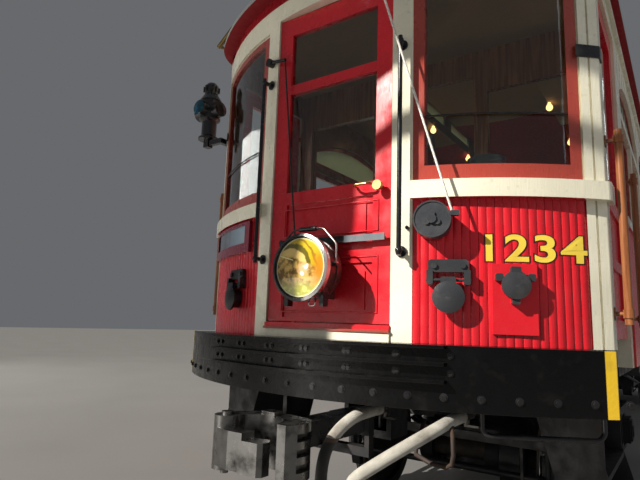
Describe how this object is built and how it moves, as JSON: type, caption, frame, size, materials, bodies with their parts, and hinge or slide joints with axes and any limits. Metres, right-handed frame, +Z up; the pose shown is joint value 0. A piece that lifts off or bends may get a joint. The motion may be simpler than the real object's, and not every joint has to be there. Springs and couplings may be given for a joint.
{
  "type": "wooden electric interurban tram car",
  "caption": "Bow-ended wooden electric tram car with clerestory roof, vestibule doors, swivelling trucks, knuckle couplers and trolley poles.",
  "frame": {"origin": "under the middle of the car, level with the bottoms of the wheel flanges", "axes": "+Z up, front end towards -Y, +X to the right of someone facing the front end"},
  "size_m": [3.228, 16.328, 4.3479],
  "materials": {
    "cast_black": "worn black paint over cast steel",
    "black_steel": "gloss black enamel",
    "bright_tread": "rolled bright on the treads",
    "red_paint": "gloss red enamel on wood",
    "red_wood": "gloss red enamel on tongue-and-groove boards",
    "cream_wood": "cream enamel",
    "maroon_wood": "dark red varnished sashes",
    "varnished_wood": "varnished hardwood",
    "floor_wood": "oiled boards",
    "roof_canvas": "painted canvas over boards",
    "clear_glass": "plate glass",
    "art_glass": "leaded cathedral glass",
    "amber_glass": "moulded amber lens",
    "cane": "woven cane",
    "canvas_hose": "canvas-covered hose",
    "black_rubber": "rubber cable",
    "rope": "braided cotton rope",
    "brass": "polished brass"
  },
  "bodies": {
    "root": {"underframe": "black_steel", "floor": "floor_wood", "side_wall_left": "red_wood", "side_wall_right": "red_wood", "end_wall_front": "cream_wood", "end_wall_rear": "cream_wood", "bulkheads": "varnished_wood", "lower_roof": "roof_canvas", "clerestory": "roof_canvas", "window_sashes": "maroon_wood", "window_glass": "clear_glass", "art_glass": "art_glass", "roof_walk": "varnished_wood", "seat_frames": "cast_black", "seat_cushions": "cane", "bumpers": "black_steel", "side_steps": "black_steel", "grab_rails": "black_steel", "side_handrails": "varnished_wood", "marker_lamps": "black_steel", "trolley_catchers": "cast_black", "trolley_rope": "rope", "jumper_sockets": "cast_black", "sign_box": "cream_wood", "air_gear": "black_steel", "control_boxes": "black_steel", "cab_controls": "cast_black", "air_hose_1": "canvas_hose", "air_hose_2": "canvas_hose", "hose_couplings": "cast_black", "angle_cocks": "brass"},
    "end_door_front": {"end_door_front": "red_paint", "end_door_front_glass": "clear_glass", "headlight": "red_paint", "headlight_lens": "amber_glass", "headlight_cable": "black_rubber"},
    "end_door_rear": {"end_door_rear": "red_paint", "end_door_rear_glass": "clear_glass"},
    "truck_front": {"truck_front_frame": "cast_black", "truck_front_motors": "cast_black"},
    "truck_rear": {"truck_rear_frame": "cast_black", "truck_rear_motors": "cast_black"},
    "coupler_front": {"coupler_front": "cast_black"},
    "coupler_rear": {"coupler_rear": "cast_black"},
    "trolley_pole_front": {"trolley_pole_front": "black_steel"},
    "trolley_pole_rear": {"trolley_pole_rear": "black_steel"},
    "wheelset_1": {"wheelset_1": "bright_tread"},
    "wheelset_2": {"wheelset_2": "bright_tread"},
    "wheelset_3": {"wheelset_3": "bright_tread"},
    "wheelset_4": {"wheelset_4": "bright_tread"},
    "side_door_front_left": {"side_door_front_left": "red_paint", "side_door_front_left_glass": "clear_glass"},
    "side_door_front_right": {"side_door_front_right": "red_paint", "side_door_front_right_glass": "clear_glass"},
    "side_door_rear_left": {"side_door_rear_left": "red_paint", "side_door_rear_left_glass": "clear_glass"},
    "side_door_rear_right": {"side_door_rear_right": "red_paint", "side_door_rear_right_glass": "clear_glass"}
  },
  "joints": [
    {"name": "wheelset_1_roll", "type": "hinge", "parent": "truck_front", "child": "wheelset_1", "pos_m": [0, -5.436, 0.457], "axis": [1, 0, 0], "continuous": true},
    {"name": "wheelset_2_roll", "type": "hinge", "parent": "truck_front", "child": "wheelset_2", "pos_m": [0, -3.404, 0.457], "axis": [1, 0, 0], "continuous": true},
    {"name": "wheelset_3_roll", "type": "hinge", "parent": "truck_rear", "child": "wheelset_3", "pos_m": [0, 3.404, 0.457], "axis": [1, 0, 0], "continuous": true},
    {"name": "wheelset_4_roll", "type": "hinge", "parent": "truck_rear", "child": "wheelset_4", "pos_m": [0, 5.436, 0.457], "axis": [1, 0, 0], "continuous": true},
    {"name": "truck_front_swivel", "type": "hinge", "parent": "root", "child": "truck_front", "pos_m": [0, -4.42, 0.83], "axis": [0, 0, 1], "range_deg": [-10, 10]},
    {"name": "truck_rear_swivel", "type": "hinge", "parent": "root", "child": "truck_rear", "pos_m": [0, 4.42, 0.83], "axis": [0, 0, 1], "range_deg": [-10, 10]},
    {"name": "end_door_front_swing", "type": "hinge", "parent": "root", "child": "end_door_front", "pos_m": [-0.4, -7.498, 2.39], "axis": [0, 0, 1], "range_deg": [0, 85]},
    {"name": "coupler_front_swing", "type": "hinge", "parent": "root", "child": "coupler_front", "pos_m": [0, -6.95, 0.9], "axis": [0, 0, 1], "range_deg": [-6, 6]},
    {"name": "trolley_pole_front_raise", "type": "hinge", "parent": "root", "child": "trolley_pole_front", "pos_m": [0, -1.5, 4.3], "axis": [-1, 0, 0], "range_deg": [0, 35]},
    {"name": "side_door_front_left_swing", "type": "hinge", "parent": "root", "child": "side_door_front_left", "pos_m": [-1.255, -6.212, 2.37], "axis": [0, 0, 1], "range_deg": [0, 88]},
    {"name": "side_door_front_right_swing", "type": "hinge", "parent": "root", "child": "side_door_front_right", "pos_m": [1.255, -6.212, 2.37], "axis": [0, 0, -1], "range_deg": [0, 88]},
    {"name": "end_door_rear_swing", "type": "hinge", "parent": "root", "child": "end_door_rear", "pos_m": [0.4, 7.498, 2.39], "axis": [0, 0, 1], "range_deg": [0, 85]},
    {"name": "coupler_rear_swing", "type": "hinge", "parent": "root", "child": "coupler_rear", "pos_m": [0, 6.95, 0.9], "axis": [0, 0, 1], "range_deg": [-6, 6]},
    {"name": "trolley_pole_rear_raise", "type": "hinge", "parent": "root", "child": "trolley_pole_rear", "pos_m": [0, 1.5, 4.3], "axis": [1, 0, 0], "range_deg": [0, 35]},
    {"name": "side_door_rear_left_swing", "type": "hinge", "parent": "root", "child": "side_door_rear_left", "pos_m": [-1.255, 6.212, 2.37], "axis": [0, 0, -1], "range_deg": [0, 88]},
    {"name": "side_door_rear_right_swing", "type": "hinge", "parent": "root", "child": "side_door_rear_right", "pos_m": [1.255, 6.212, 2.37], "axis": [0, 0, 1], "range_deg": [0, 88]}
  ]
}
